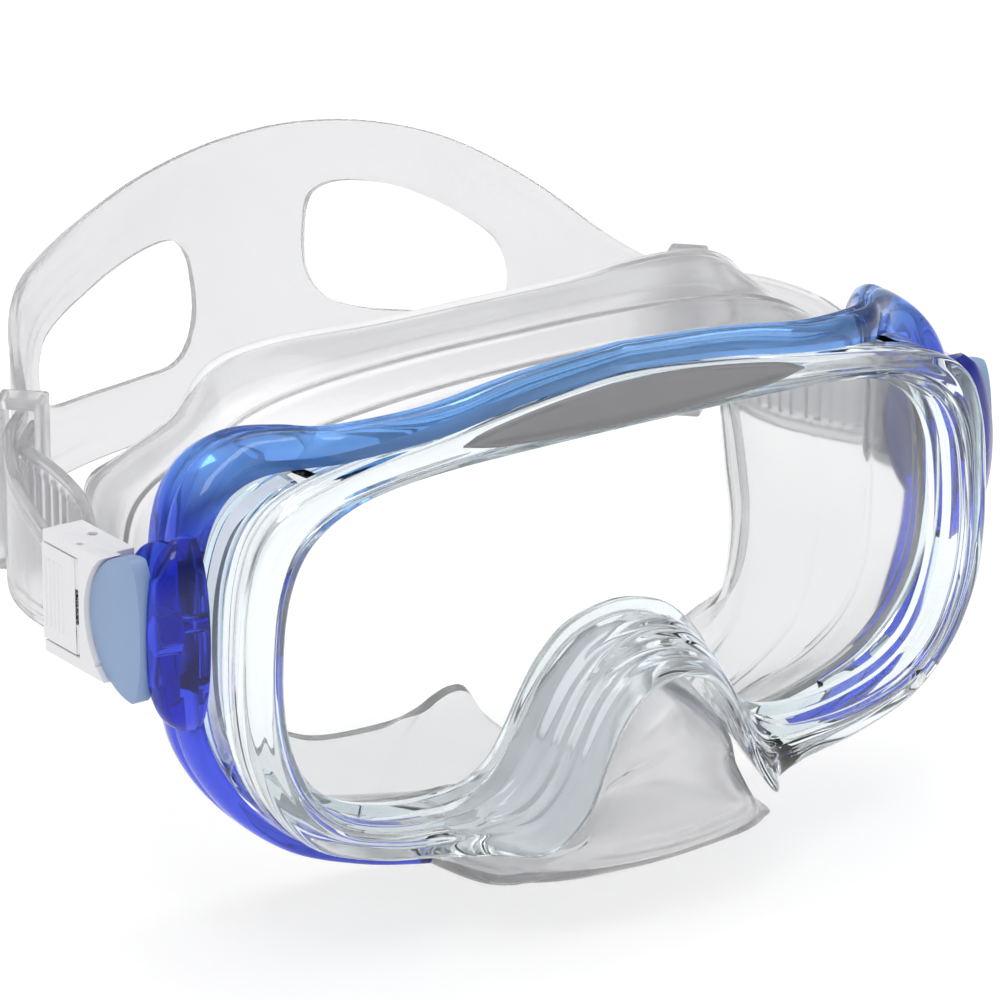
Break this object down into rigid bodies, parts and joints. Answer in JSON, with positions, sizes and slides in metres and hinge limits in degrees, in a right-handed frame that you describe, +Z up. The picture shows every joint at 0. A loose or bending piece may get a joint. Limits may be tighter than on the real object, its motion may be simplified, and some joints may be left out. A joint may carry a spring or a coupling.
{
  "type": "diving mask",
  "caption": "Diving mask: glass front lens and curved side windows in a clear frame with blue brow rail, silicone skirt with nose pocket, split head strap on swivel buckles.",
  "frame": {"origin": "centre of the front lens's outer face", "axes": "+X towards the wearer's left, -Y forward the way the wearer looks, +Z up"},
  "size_m": [0.1772, 0.1354, 0.108],
  "materials": {
    "tempered_glass": "polished clear",
    "clear_frame_plastic": "clear gloss polycarbonate",
    "blue_translucent_plastic": "translucent gloss",
    "pale_blue_cover_plastic": "matte",
    "grey_satin_plastic": "satin",
    "clear_silicone": "translucent satin silicone",
    "white_buckle_plastic": "satin",
    "grey_roller_plastic": "satin",
    "stainless_steel": "drawn wire"
  },
  "bodies": {
    "mask": {"front_lens": "tempered_glass", "side_lens_left": "tempered_glass", "side_lens_right": "tempered_glass", "lens_frame": "clear_frame_plastic", "outer_frame": "blue_translucent_plastic", "brow_insert": "grey_satin_plastic", "skirt": "clear_silicone", "skirt_clamp_ring": "clear_frame_plastic", "ear_cover_left": "pale_blue_cover_plastic", "ear_cover_right": "pale_blue_cover_plastic", "pivot_pin_left": "stainless_steel", "pivot_pin_right": "stainless_steel"},
    "strap_assembly": {"head_strap": "clear_silicone", "buckle_body_left": "white_buckle_plastic", "buckle_body_right": "white_buckle_plastic", "roller_pin_left": "stainless_steel", "roller_pin_right": "stainless_steel", "lever_pin_left": "stainless_steel", "lever_pin_right": "stainless_steel", "lever_spring_left": "stainless_steel", "lever_spring_right": "stainless_steel"},
    "roller_left": {"strap_roller_left": "grey_roller_plastic"},
    "roller_right": {"strap_roller_right": "grey_roller_plastic"},
    "lever_left": {"release_lever_left": "white_buckle_plastic"},
    "lever_right": {"release_lever_right": "white_buckle_plastic"},
    "keeper_left": {"strap_keeper_left": "clear_silicone"},
    "keeper_right": {"strap_keeper_right": "clear_silicone"}
  },
  "joints": [
    {"name": "strap_swing", "type": "hinge", "parent": "mask", "child": "strap_assembly", "pos_m": [0, 0.0157, 0.009], "axis": [1, 0, 0], "range_deg": [-40, 45]},
    {"name": "roller_spin_left", "type": "hinge", "parent": "strap_assembly", "child": "roller_left", "pos_m": [0.08305, 0.0344, 0.009], "axis": [0, 0, 1], "continuous": true},
    {"name": "lever_release_left", "type": "hinge", "parent": "strap_assembly", "child": "lever_left", "pos_m": [0.0873, 0.0315, 0.009], "axis": [0, 0, -1], "range_deg": [0, 25], "stiffness_Nm_per_rad": 0.006, "springref_deg": -20.05},
    {"name": "keeper_slide_left", "type": "slide", "parent": "strap_assembly", "child": "keeper_left", "axis": [-0.6848, 0.7288, 0], "range_m": [-0.003, 0.003]},
    {"name": "roller_spin_right", "type": "hinge", "parent": "strap_assembly", "child": "roller_right", "pos_m": [-0.08305, 0.0344, 0.009], "axis": [0, 0, 1], "continuous": true},
    {"name": "lever_release_right", "type": "hinge", "parent": "strap_assembly", "child": "lever_right", "pos_m": [-0.0873, 0.0315, 0.009], "axis": [0, 0, 1], "range_deg": [0, 25], "stiffness_Nm_per_rad": 0.006, "springref_deg": -20.05},
    {"name": "keeper_slide_right", "type": "slide", "parent": "strap_assembly", "child": "keeper_right", "axis": [0.6848, 0.7288, 0], "range_m": [-0.003, 0.003]}
  ]
}
